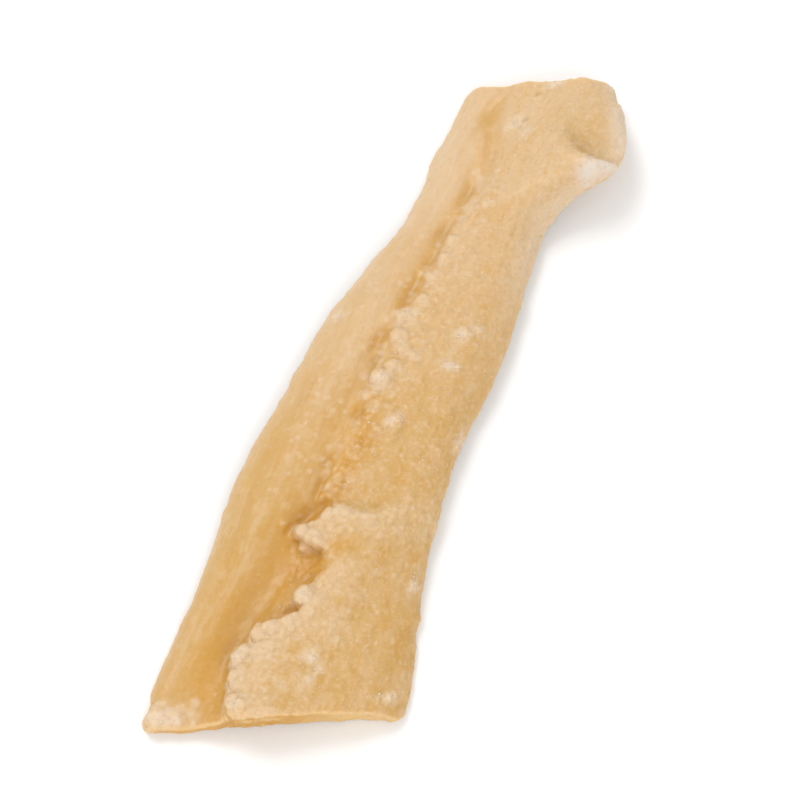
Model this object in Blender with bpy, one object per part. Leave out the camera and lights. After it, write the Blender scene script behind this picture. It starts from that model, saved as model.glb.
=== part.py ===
"""A strip of salted, dried blue whiting, cut across both ends and lying on its outer side.

Lengths are in millimetres until a point is handed to Blender, which takes metres. +Y runs along
the strip from the broad cut to the narrow one, +X runs across it to the right, and +Z is up. A
place on the strip is given by its station (0 at the broad cut, 1 at the narrow cut) and by x, its
distance from the axis.
"""

import math
import random

import bmesh
import bpy
from mathutils import Vector, noise

MM = 0.001
SEED = 57

# Driving dimensions
CORE_LENGTH = 55.0  # between the two cuts, along the axis
CUT_SLANT = 0.46  # how far a cut runs along the strip for each millimetre across it
BODY_THICKNESS = 1.9
RIM_THICKNESS = 0.75
THIN_RIM_WIDTH = 1.2  # over which the left edge thickens into the body
ROUND_RIM_WIDTH = 2.6  # over which the right edge is rounded into the body
ARCH_RISE = 1.4  # of the underside in the middle of the length
CAMBER_RISE = 0.9  # of the underside in the middle of the width
SETTLE = 0.5  # how far the lowest places are bent up flat, where it rests

# Half outlines: (station, x of the edge)
LEFT_EDGE = [
    (0.0, -9.2),
    (0.1, -9.5),
    (0.2, -9.3),
    (0.38, -9.9),
    (0.52, -9.1),
    (0.63, -8.5),
    (0.69, -7.5),
    (0.735, -6.9),
    (0.77, -6.15),
    (0.8, -5.8),
    (0.84, -5.75),
    (0.9, -5.9),
    (0.95, -5.5),
    (1.0, -5.55),
]
RIGHT_EDGE = [
    (0.0, 8.5),
    (0.07, 7.7),
    (0.19, 6.1),
    (0.3, 5.1),
    (0.42, 4.8),
    (0.52, 5.2),
    (0.64, 4.8),
    (0.72, 4.4),
    (0.765, 4.6),
    (0.785, 5.1),
    (0.8, 5.8),
    (0.82, 7.6),
    (0.84, 8.1),
    (0.87, 7.95),
    (0.93, 6.95),
    (1.0, 5.6),
]
CORNER_RADII = {"broad": (0.9, 0.5), "narrow": (0.7, 0.4)}  # on the left, on the right
CORNER_REACH = 0.06  # stations over which the cuts' shape dies away
NARROW_CUT_TURN = 0.09  # how much less the narrow cut slants than the broad one
NARROW_CUT_REACH = (0.88, 1.0)  # stations over which it turns

# The furrow that the backbone left between the two fillets
FURROW_LINE = [
    (0.0, -5.7),
    (0.095, -5.25),
    (0.227, -4.1),
    (0.418, -3.35),
    (0.571, -3.55),
    (0.741, -2.45),
    (0.874, -1.95),
    (1.0, -2.8),
]
FURROW_DEPTH = 0.28
FURROW_UNEVENNESS = 0.5  # how much the depth changes along it, as a share of the depth
FURROW_HALF_WIDTH = 0.85
TROUGH_HALF_WIDTH = 2.3  # of the furrow where it opens towards the broad cut
TROUGH_DEPTH = 0.6
TROUGH_STATIONS = (0.39, 0.17)  # from furrow to open trough
FURROW_FADES = (0.84, 0.98)  # stations over which the furrow runs out to END_DEPTH
END_DEPTH = 0.1
LEFT_FILLET_RISE = 0.07  # of its width
RIGHT_FILLET_RISE = 0.065
RIGHT_FILLET_LEAN = 0.85  # under 1, its top lies nearer the furrow than the edge

# The crusted upper layer, torn off along the furrow and across the right fillet. Past its top
# the torn edge only guides the grid.
TORN_EDGE = [
    (0.0, -3.1),
    (0.02, -3.9),
    (0.04, -4.05),
    (0.066, -4.4),
    (0.086, -4.75),
    (0.104, -4.15),
    (0.124, -3.7),
    (0.145, -1.2),
    (0.168, -2.1),
    (0.19, -1.25),
    (0.233, -1.1),
    (0.252, -2.6),
    (0.268, -4.0),
    (0.296, -2.3),
    (0.47, -2.1),
    (1.0, -1.2),
]
TORN_TOP = [
    (-4.2, 0.272),
    (-3.6, 0.281),
    (-2.6, 0.291),
    (-1.9, 0.306),
    (-1.2, 0.305),
    (-0.4, 0.297),
    (0.5, 0.294),
    (1.7, 0.301),
    (5.0, 0.325),
]
TORN_WANDER = 0.25
TORN_STEP = 0.4  # across the torn edge
TORN_STEP_STATIONS = 0.009
LAYER_RISE = 0.55
LAYER_ENDS_AT_X = (0.8, 4.0)  # where the step across the fillet sinks into the surface
LAYER_THINS_WITHIN = 5.0  # of the right edge
ROLL_RISE = 0.34  # of the swollen rim along the torn edge
ROLL_INSET = 0.75  # from the torn edge to the top of the rim
ROLL_HALF_WIDTH = 0.6  # towards the torn edge
ROLL_INNER_WIDTH = 2.4  # away from it, where the rim sinks slowly
LOBE_SPACING = 2.1  # along the swollen rim
LOBE_SHARE = 0.7  # of the rim's rise that comes and goes with the lobes

# The curled corner at the narrow cut
CURL_RISE = 3.4
CURL_STATIONS = (0.74, 0.84, 0.88, 1.0)  # rise from, to; fall from, to
CURL_LEFT_AT_CUT = 0.4
CREASE_LINE = [(3.0, 0.888), (4.3, 0.874), (6.0, 0.853), (7.5, 0.842)]  # x, station
CREASE_DEPTH = 1.1  # where the flesh is thick
CREASE_STATIONS = (0.016, 0.045)  # half width towards the broad and the narrow cut
CREASE_FROM_X = (2.2, 4.6)
LIP_BELOW_CREASE = 0.026  # stations from the crease to the top of the turned-up lip
LIP_RISE = 0.75
LIP_HALF_WIDTH = 0.016  # in stations

# Relief
WAVES = 0.22  # broad, shallow waves of the dried flesh
CRUST_RELIEF = 0.16
FLESH_RELIEF = 0.1
EDGE_WANDER = 0.2
CUT_WANDER = 0.3
RIM_BULGE = 0.2
SLIT_DEPTH = 0.45  # between the two layers that show in the broad cut
SLIT_FROM_X = -4.0
CRUST_REACH = 0.45  # of the upper layer past the broad cut
LIP_REACH = 0.35  # of the lower layer
REACH_STATIONS = 0.03  # from which both begin to reach out

# The surface grid: the furrow and the two sides of the torn edge each follow one column
ROWS = 88
FURROW_COLUMN = 10
TORN_COLUMNS = (13, 14)
COLUMNS = 31
BASE_ROWS = 44
BASE_COLUMNS = 16

# Crumbs of torn flesh and salt, fused to the surface: (station, x, radius)
BANK_LUMPS = [
    (0.339, -3.05, 0.35),
    (0.352, -2.55, 0.38),
    (0.362, -3.5, 0.32),
    (0.4, -3.3, 0.4),
    (0.418, -1.15, 0.42),
    (0.435, -0.25, 0.6),
    (0.459, -2.1, 0.45),
    (0.48, -3.1, 0.45),
    (0.504, -2.45, 0.72),
    (0.521, -1.9, 0.5),
    (0.538, -0.9, 0.5),
    (0.549, -1.7, 0.45),
    (0.567, -2.35, 0.62),
    (0.572, 2.0, 0.48),
    (0.579, 2.7, 0.36),
    (0.603, -2.65, 0.7),
    (0.628, -1.85, 0.4),
    (0.668, -2.05, 0.42),
    (0.696, -1.55, 0.45),
    (0.728, -1.7, 0.38),
    (0.785, -2.0, 0.42),
    (0.783, -0.2, 0.42),
    (0.617, -7.55, 0.4),
]
RIM_LUMPS = [
    (0.014, -3.1, 0.5),
    (0.008, -2.45, 0.4),
    (0.056, -3.7, 0.45),
    (0.084, -4.0, 0.8),
    (0.121, -3.3, 0.6),
    (0.121, -2.55, 0.65),
    (0.127, -1.4, 0.5),
    (0.167, -1.4, 0.75),
    (0.267, -3.25, 0.55),
    (0.259, -2.45, 0.55),
    (0.29, -1.9, 0.6),
    (0.284, -0.7, 0.45),
    (0.284, 0.6, 0.4),
]
CUT_LUMPS = [
    (0.012, -8.3, 0.7),
    (0.013, -7.2, 0.55),
    (0.005, -6.4, 0.45),
    (0.018, 6.9, 0.5),
    (0.402, 4.45, 0.4),
    (0.192, 5.3, 0.4),
    (0.952, 6.3, 0.35),
]
SCATTERED_GRAINS = 26
SCATTERED_RADIUS = (0.26, 0.4)
LUMP_FLATNESS = 0.7
LUMP_LENGTH = 1.3  # as a share of its width
LUMP_UNEVENNESS = 0.4
LUMP_SINK = 0.3  # how far a lump's centre lies under the surface, as a share of its radius
ROUND_LUMP_RADIUS = 0.6  # from which a lump has more faces

FISH_COLOUR = (0.74, 0.47, 0.22, 1.0)
FISH_ROUGHNESS = 0.42


def through(stations, at):
    """The value at a place along a smooth curve through (place, value) pairs."""
    if at <= stations[0][0]:
        return stations[0][1]
    if at >= stations[-1][0]:
        return stations[-1][1]
    k = next(i for i in range(len(stations) - 1) if at <= stations[i + 1][0])
    (begin, start), (finish, end) = stations[k], stations[k + 1]
    span = finish - begin

    def slope(i):
        i = min(max(i, 1), len(stations) - 2)
        (before, low), (after, high) = stations[i - 1], stations[i + 1]
        return (high - low) / (after - before)

    t = (at - begin) / span
    return (
        start * (2 * t**3 - 3 * t**2 + 1)
        + slope(k) * span * (t**3 - 2 * t**2 + t)
        + end * (3 * t**2 - 2 * t**3)
        + slope(k + 1) * span * (t**3 - t**2)
    )


def ease(low, high, value):
    """0 at low, 1 at high, smooth between and level beyond. Low may be the greater of the two."""
    t = min(max((value - low) / (high - low), 0.0), 1.0)
    return t * t * (3 - 2 * t)


def uneven(x, y, size, field=0.0):
    """Smooth noise between about -1 and 1, with lumps about size across."""
    return noise.noise(Vector((x / size, y / size, field)))


def left_edge(station):
    return through(LEFT_EDGE, station) + EDGE_WANDER * uneven(station * CORE_LENGTH, 0, 1.9)


def right_edge(station):
    return through(RIGHT_EDGE, station) + EDGE_WANDER * uneven(station * CORE_LENGTH, 9, 1.5)


def corner_retreat(radius, distance):
    """How far a cut falls back at this distance from its rounded corner."""
    inside = min(max(radius - distance, 0.0), radius)
    return radius - math.sqrt(radius**2 - inside**2)


def along(station, x):
    """y of the place at this station and x."""
    slant = CUT_SLANT - NARROW_CUT_TURN * ease(*NARROW_CUT_REACH, station)
    y = CORE_LENGTH * (station - 0.5) + slant * x
    cuts = (("broad", 1, station), ("narrow", -1, 1 - station))
    for end, inward, stations_in in cuts:
        left_radius, right_radius = CORNER_RADII[end]
        retreat = corner_retreat(left_radius, x - left_edge(station))
        retreat += corner_retreat(right_radius, right_edge(station) - x)
        retreat += CUT_WANDER * uneven(x, 20 * inward, 2.2)
        y += inward * retreat * ease(CORNER_REACH, 0.0, stations_in)
    return y


def share_across(station, x):
    """0 at the left edge and 1 at the right edge."""
    low, high = left_edge(station), right_edge(station)
    return (x - low) / (high - low)


def underside(station, x):
    """Height of the underside, which lies flat on the floor where it is lowest."""
    q = share_across(station, x)
    arch = ARCH_RISE * math.sin(math.pi * station)
    camber = CAMBER_RISE * (1 - (2 * q - 1) ** 2)
    rise_from, rise_to, fall_from, fall_to = CURL_STATIONS
    fall = (1 - CURL_LEFT_AT_CUT) * ease(fall_from, fall_to, station)
    curl = CURL_RISE * ease(rise_from, rise_to, station) * (1 - fall) * ease(0.3, 1.05, q) ** 1.3
    return max(arch + camber + curl - SETTLE, 0.0)


def thickness(station, x):
    """Thickness of the flesh without its fillets: thin at the left edge, rounded at the right."""
    thin = math.exp(-(x - left_edge(station)) / THIN_RIM_WIDTH)
    inward = min(max((right_edge(station) - x) / ROUND_RIM_WIDTH, 0.0), 1.0)
    rounded = 1 - math.sqrt(1 - (1 - inward) ** 2)
    return BODY_THICKNESS - (BODY_THICKNESS - RIM_THICKNESS) * max(thin, rounded)


def fillets(station, x):
    """Rise of the two rounded fillets, left and right of the furrow."""
    middle = through(FURROW_LINE, station)
    if x < middle:
        width = middle - left_edge(station)
        across = min(max(1 - (middle - x) / width, 0.0), 1.0)
        return LEFT_FILLET_RISE * width * math.sin(math.pi * across)
    width = right_edge(station) - middle
    across = min(max((x - middle) / width, 0.0), 1.0) ** RIGHT_FILLET_LEAN
    return RIGHT_FILLET_RISE * width * math.sin(math.pi * across)


def furrow(station, x):
    """Depth of the furrow, which opens into a trough towards the broad cut."""
    opened = ease(*TROUGH_STATIONS, station)
    half_width = FURROW_HALF_WIDTH + (TROUGH_HALF_WIDTH - FURROW_HALF_WIDTH) * opened
    depth = FURROW_DEPTH * (1 + FURROW_UNEVENNESS * uneven(station * CORE_LENGTH, 60, 2.6))
    depth += (TROUGH_DEPTH - depth) * opened
    depth *= 1 - (1 - END_DEPTH) * ease(*FURROW_FADES, station)
    return depth * math.exp(-(((x - through(FURROW_LINE, station)) / half_width) ** 2))


def torn_edge(station):
    """x of the upper layer's torn edge."""
    return through(TORN_EDGE, station) + TORN_WANDER * uneven(station * CORE_LENGTH, 31, 1.6)


def layer(station, x):
    """1 on the crusted upper layer and 0 off it."""
    torn = torn_edge(station)
    past_edge = ease(torn - TORN_STEP / 2, torn + TORN_STEP / 2, x)
    torn_top = through(TORN_TOP, x)
    step = ease(torn_top + TORN_STEP_STATIONS, torn_top - TORN_STEP_STATIONS, station)
    return past_edge * max(step, ease(*LAYER_ENDS_AT_X, x))


def crest(inset, width):
    """1 at the rolled rim's inset from the torn edge, and less to both sides."""
    return math.exp(-(((inset - ROLL_INSET) / width) ** 2))


def roll(inset, lobes):
    """Share of the rolled rim's rise at an inset from the torn edge."""
    width = ROLL_HALF_WIDTH if inset < ROLL_INSET else ROLL_INNER_WIDTH
    return crest(inset, width) + lobes * crest(inset, ROLL_HALF_WIDTH)


def swollen_rim(station, x):
    """Rise of the lobed rim that runs along the torn edge and across the fillet."""
    y = station * CORE_LENGTH
    lobes = LOBE_SHARE * math.sin(math.tau * y / LOBE_SPACING + 2 * uneven(y, 44, 3.0))
    beside = roll(x - torn_edge(station), lobes)
    across = roll((through(TORN_TOP, x) - station) * CORE_LENGTH, 0)
    return ROLL_RISE * max(beside, across * ease(*reversed(LAYER_ENDS_AT_X), x))


def curled_corner(station, x):
    """Rise of the corner's turned-up lip, less the crease beside it."""
    from_crease = station - through(CREASE_LINE, x)
    width = CREASE_STATIONS[from_crease > 0]
    solid = (thickness(station, x) - RIM_THICKNESS) / (BODY_THICKNESS - RIM_THICKNESS)
    crease = math.exp(-((from_crease / width) ** 2)) * ease(*CREASE_FROM_X, x) * solid
    lip = math.exp(-(((from_crease + LIP_BELOW_CREASE) / LIP_HALF_WIDTH) ** 2))
    return LIP_RISE * lip * ease(*CREASE_FROM_X, x) - CREASE_DEPTH * crease


def top_side(station, x):
    """Height of the shown side."""
    y = station * CORE_LENGTH
    crusted = layer(station, x)
    full = ease(0.0, LAYER_THINS_WITHIN, right_edge(station) - x)
    relief = WAVES * uneven(x, y / 1.6, 4.5, 7)
    relief += FLESH_RELIEF * uneven(x, y / 2.5, 1.8, 3)
    relief += CRUST_RELIEF * uneven(x, y, 2.2, 5) * crusted
    height = underside(station, x) + thickness(station, x) + fillets(station, x)
    height += (LAYER_RISE + swollen_rim(station, x)) * crusted * full + curled_corner(station, x)
    return height - furrow(station, x) + relief


def shown_x(column, station):
    """x of a column of the shown side's grid."""
    torn = torn_edge(station)
    guides = [
        (0, left_edge(station)),
        (FURROW_COLUMN, through(FURROW_LINE, station)),
        (TORN_COLUMNS[0], torn - TORN_STEP / 2),
        (TORN_COLUMNS[1], torn + TORN_STEP / 2),
        (COLUMNS, right_edge(station)),
    ]
    k = next(i for i in range(len(guides) - 1) if column <= guides[i + 1][0])
    (begin, start), (finish, end) = guides[k], guides[k + 1]
    return start + (end - start) * (column - begin) / (finish - begin)


def base_x(column, station):
    """x of a column of the underside's grid."""
    return left_edge(station) + (right_edge(station) - left_edge(station)) * column / BASE_COLUMNS


def lay_grid(bm, columns, rows, column_x, height, reach):
    """Adds a grid of the strip's outline, curved to a height, and returns its border edges.

    The edge at the broad cut reaches out past the cut by the reach.
    """
    grid = bmesh.ops.create_grid(bm, x_segments=columns, y_segments=rows, size=1)["verts"]
    for vertex in grid:
        station = (vertex.co.y + 1) / 2
        x = column_x(round((vertex.co.x + 1) / 2 * columns), station)
        y = along(station, x) - reach * ease(REACH_STATIONS, 0.0, station)
        vertex.co = Vector((x, y, height(station, x))) * MM
    edges = {edge for vertex in grid for edge in vertex.link_edges}
    return [edge for edge in edges if len(edge.link_faces) == 1]


def wall_point(rim_point):
    """The point half way down the wall under a point of the upper rim.

    The wall bulges there, but at the broad cut it goes in between the two layers.
    """
    x, y, z = rim_point / MM
    station = min(max((y - CUT_SLANT * x) / CORE_LENGTH + 0.5, 0.0), 1.0)
    share = share_across(station, x)
    at_broad_cut, at_narrow_cut = station < 0.02, station > 0.98
    outward = Vector(((share > 0.995) - (share < 0.005), at_narrow_cut - at_broad_cut, 0))
    in_slit = at_broad_cut and SLIT_FROM_X < x < right_edge(0) - 1
    reach = -SLIT_DEPTH if in_slit else RIM_BULGE
    middle = (z + underside(station, x)) / 2
    return (Vector((x, y, middle)) + outward.normalized() * reach) * MM


def make_strip():
    """The strip of flesh as one closed mesh object."""
    bm = bmesh.new()
    rim = lay_grid(bm, COLUMNS, ROWS, shown_x, top_side, CRUST_REACH)
    wall = bmesh.ops.extrude_edge_only(bm, edges=rim)["geom"]
    for vertex in wall:
        if isinstance(vertex, bmesh.types.BMVert):
            vertex.co = wall_point(vertex.co)
    loose_rim = [e for e in wall if isinstance(e, bmesh.types.BMEdge) and len(e.link_faces) == 1]
    base = lay_grid(bm, BASE_COLUMNS, BASE_ROWS, base_x, underside, LIP_REACH)
    bmesh.ops.bridge_loops(bm, edges=loose_rim + base)
    bmesh.ops.recalc_face_normals(bm, faces=bm.faces[:])
    mesh = bpy.data.meshes.new("dried_fish_strip")
    bm.to_mesh(mesh)
    bm.free()
    strip = bpy.data.objects.new("dried_fish_strip", mesh)
    bpy.context.scene.collection.objects.link(strip)
    return strip


def add_lump(collection, station, x, radius, draw):
    """An uneven, flattened lump partly sunk in the shown side."""
    bm = bmesh.new()
    bmesh.ops.create_icosphere(bm, subdivisions=2 if radius >= ROUND_LUMP_RADIUS else 1, radius=radius)
    shift = Vector(draw.uniform(-50, 50) for _ in range(3))
    for vertex in bm.verts:
        vertex.co *= (1 + LUMP_UNEVENNESS * noise.noise(vertex.co / radius + shift)) * MM
        vertex.co.x *= LUMP_LENGTH
        vertex.co.z *= LUMP_FLATNESS
    mesh = bpy.data.meshes.new("lump")
    bm.to_mesh(mesh)
    bm.free()
    lump = bpy.data.objects.new("lump", mesh)
    height = top_side(station, x) - LUMP_SINK * radius
    lump.location = Vector((x, along(station, x), height)) * MM
    lump.rotation_euler.z = draw.uniform(0, math.tau)
    collection.objects.link(lump)


def scatter_lumps(collection):
    """The lumps of the furrow's bank and the torn rim, and small grains between them."""
    draw = random.Random(SEED)
    for station, x, radius in BANK_LUMPS + RIM_LUMPS + CUT_LUMPS:
        add_lump(collection, station, x, radius, draw)
    for k in range(SCATTERED_GRAINS):
        station = 0.31 + 0.5 * (k + draw.random()) / SCATTERED_GRAINS
        x = through(FURROW_LINE, station) + 0.5 + abs(draw.gauss(0, 1.6))
        add_lump(collection, station, x, draw.uniform(*SCATTERED_RADIUS), draw)


def fuse(strip, collection):
    """Joins everything in the collection to the strip, and removes the collection."""
    union = strip.modifiers.new("fused lumps", "BOOLEAN")
    union.operation = "UNION"
    union.operand_type = "COLLECTION"
    union.collection = collection
    graph = bpy.context.evaluated_depsgraph_get()
    fused = bpy.data.meshes.new_from_object(strip.evaluated_get(graph))
    strip.modifiers.clear()
    strip.data = fused
    for lump in list(collection.objects):
        bpy.data.objects.remove(lump)
    bpy.data.collections.remove(collection)


def stand_on_origin(strip):
    """Puts the middle of the mesh's box over the origin and its lowest point on z = 0."""
    points = [vertex.co for vertex in strip.data.vertices]
    low = [min(point[axis] for point in points) for axis in range(3)]
    high = [max(point[axis] for point in points) for axis in range(3)]
    foot = Vector(((low[0] + high[0]) / 2, (low[1] + high[1]) / 2, low[2]))
    for point in points:
        point -= foot


def dress(strip):
    """One waxy amber material, smooth but for the torn and cut edges."""
    material = bpy.data.materials.new("dried fish")
    material.use_nodes = True
    shader = material.node_tree.nodes["Principled BSDF"]
    shader.inputs["Base Color"].default_value = FISH_COLOUR
    shader.inputs["Roughness"].default_value = FISH_ROUGHNESS
    shader.inputs["Metallic"].default_value = 0.0
    strip.data.materials.clear()
    strip.data.materials.append(material)
    strip.data.shade_smooth()
    strip.data.set_sharp_from_angle(angle=math.radians(50))


def main():
    for old in list(bpy.data.objects):
        bpy.data.objects.remove(old)
    strip = make_strip()
    lumps = bpy.data.collections.new("lumps")
    bpy.context.scene.collection.children.link(lumps)
    scatter_lumps(lumps)
    fuse(strip, lumps)
    stand_on_origin(strip)
    dress(strip)


main()
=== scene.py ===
"""Looks of one strip of salted, dried blue whiting, on a pale floor in soft light.

The solid strip of the frame gives the form. Here it becomes one fine skin with its crumbs, torn
crust, fibres and salt, is painted zone by zone, and is lit and framed as it was photographed.
Lengths on the strip are in millimetres; MM turns them into the metres that Blender is given.
"""

import logging
import math
import random
from collections.abc import Sequence
from dataclasses import dataclass, field
from enum import Enum
from types import SimpleNamespace

import bpy
import numpy as np
from mathutils import Matrix, Vector, noise
from mathutils.bvhtree import BVHTree

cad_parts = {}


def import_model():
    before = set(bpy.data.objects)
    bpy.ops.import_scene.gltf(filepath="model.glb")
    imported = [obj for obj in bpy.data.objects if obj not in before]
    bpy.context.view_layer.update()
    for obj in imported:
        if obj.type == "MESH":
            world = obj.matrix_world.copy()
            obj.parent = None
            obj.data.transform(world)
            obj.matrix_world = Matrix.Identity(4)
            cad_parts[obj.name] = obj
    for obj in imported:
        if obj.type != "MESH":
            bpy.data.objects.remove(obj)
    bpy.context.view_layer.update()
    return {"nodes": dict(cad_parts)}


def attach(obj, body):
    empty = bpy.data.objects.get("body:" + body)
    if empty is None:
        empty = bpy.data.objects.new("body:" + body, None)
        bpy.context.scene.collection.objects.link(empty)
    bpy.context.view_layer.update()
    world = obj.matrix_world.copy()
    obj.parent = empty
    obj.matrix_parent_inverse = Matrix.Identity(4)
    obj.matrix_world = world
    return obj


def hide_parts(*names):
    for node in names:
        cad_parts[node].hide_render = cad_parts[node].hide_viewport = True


MM = 0.001
SOLID = "dried_fish_strip"
BODY = "root"

log = logging.getLogger("dried_fish")

Triple = tuple[float, float, float]
Colour = Triple
Span = tuple[float, float]
Line = tuple[Span, ...]
Lumps = tuple[Triple, ...]
Values = dict[str | int, object]
Thing = bpy.types.Object
Mesh = bpy.types.Mesh

STUDIO_GAIN = (1.24, 1.25, 1.32)  # how much brighter than its paint a lit surface comes out
RAY_START = 20 * MM  # the height that rays down at the strip start from
CREASE_AT = 0.85  # how far from their middles crowded crumbs meet, as a share of their size


class Zone(Enum):
    """The painted zones of the skin, by the names of their attributes."""

    UPPER = "upper"  # rises along the strip, from the broad cut to the narrow one
    LAYER = "layer"  # the crusted upper layer
    CRUST = "crust"  # grainy, opaque flesh right of the furrow
    AMBER = "amber"  # clear, glassy flesh in the furrow and its trough, and stains beside them
    PIT = "pit"  # dark, clear pits, and the walls under the torn edge
    RIM = "rim"  # the swollen rim of the torn layer
    CRUMB = "crumb"  # crumbs of torn flesh and salt
    BORDER = "border"  # the rounded left rim
    PALE = "pale"  # patches white with salt
    LIP = "lip"  # the pinkish white lip of the curled corner with a painted highlight, and a fainter painted highlight all along that edge
    SHADE = "shade"  # browner flesh and painted shade at the right flank, which slopes away from the light
    THIN = "thin"  # thin edges, painted paler where light comes through them, and a painted highlight on the upper part of the right border
    HOLLOW_SHADE = "hollow"  # painted shade, in dark clear amber, in small pits and folds
    CREST_HIGHLIGHT = "crest"  # painted highlight on small ridges and rims
    UNDER = "under"  # the outer side of the fish, which lies down
    SEAM = "seam"  # seams between the muscle blocks of the outer side
    CUT = "cut"  # the two cut faces, with painted light on them
    CUP = "cup"  # painted shade in the hollow of the curled corner
    SHADED_SLIT = "shaded_slit"  # clear flesh and painted shade deep between the two layers of the broad cut


def from_screen(*colour: int) -> Colour:
    """The paint that the studio's light turns into a colour of the photograph, from 0 to 255."""
    share = np.array(colour) / 255
    linear = np.where(share <= 0.04045, share / 12.92, ((share + 0.055) / 1.055) ** 2.4)
    return tuple((linear / STUDIO_GAIN).tolist())


def ease(low: float, high: float, value: np.ndarray) -> np.ndarray:
    """A value's smooth rise from 0 at low to 1 at high, which may be the lesser of the two."""
    share = np.clip((value - low) / (high - low), 0, 1)
    return share * share * (3 - 2 * share)


def peak(value: np.ndarray, width: float | np.ndarray) -> np.ndarray:
    """A smooth peak, 1 where the value is 0 and fading over a width to both sides."""
    return np.exp(-((value / width) ** 2))


def through(line: Line, at: np.ndarray) -> np.ndarray:
    """Follows a smooth curve through points.

    Args:
        line: The points, as (place, value) in rising order of place.
        at: The places to take the curve at.

    Returns:
        The values there, level beyond both ends.
    """
    places, values = np.array(line).T
    slopes = (values[2:] - values[:-2]) / (places[2:] - places[:-2])
    slopes = np.concatenate((slopes[:1], slopes, slopes[-1:]))
    inside = np.clip(at, places[0], places[-1])
    k = np.clip(np.searchsorted(places, inside, side="right") - 1, 0, len(places) - 2)
    span = places[k + 1] - places[k]
    t = (inside - places[k]) / span
    from_values = values[k] * (2 * t**3 - 3 * t**2 + 1) + values[k + 1] * (3 * t**2 - 2 * t**3)
    return from_values + span * (slopes[k] * (t**3 - 2 * t**2 + t) + slopes[k + 1] * (t**3 - t**2))


def shifted(points: np.ndarray, size: float | Triple, number: float) -> list[list[float]]:
    """Points measured in lumps of a size, in a field of noise of their own."""
    return (points / np.array(size) + number * np.array((17.3, 5.1, 9.7))).tolist()


def uneven(points: np.ndarray, size: float | Triple, number: float) -> np.ndarray:
    """Smooth noise from about -1 to 1, in lumps of a size; the number chooses its field."""
    places = shifted(points, size, number)
    return np.fromiter((noise.noise(place) for place in places), float, len(places))


def domes(points: np.ndarray, size: float, number: float) -> np.ndarray:
    """Crowded round crumbs of a size: 1 on their tops and 0 in the creases between them."""
    away = (noise.voronoi(place)[0][0] for place in shifted(points, size, number))
    return np.clip(1 - (np.fromiter(away, float, len(points)) / CREASE_AT) ** 2, 0, 1)


@dataclass(frozen=True)
class Spot:
    """A soft spot on the strip: its place, and its reach along and across it."""

    station: float
    x: float
    along: float
    across: float


def spots(*rows: tuple[float, float, float, float]) -> tuple[Spot, ...]:
    """Soft spots, one for each row of their values."""
    return tuple(Spot(*row) for row in rows)


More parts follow.
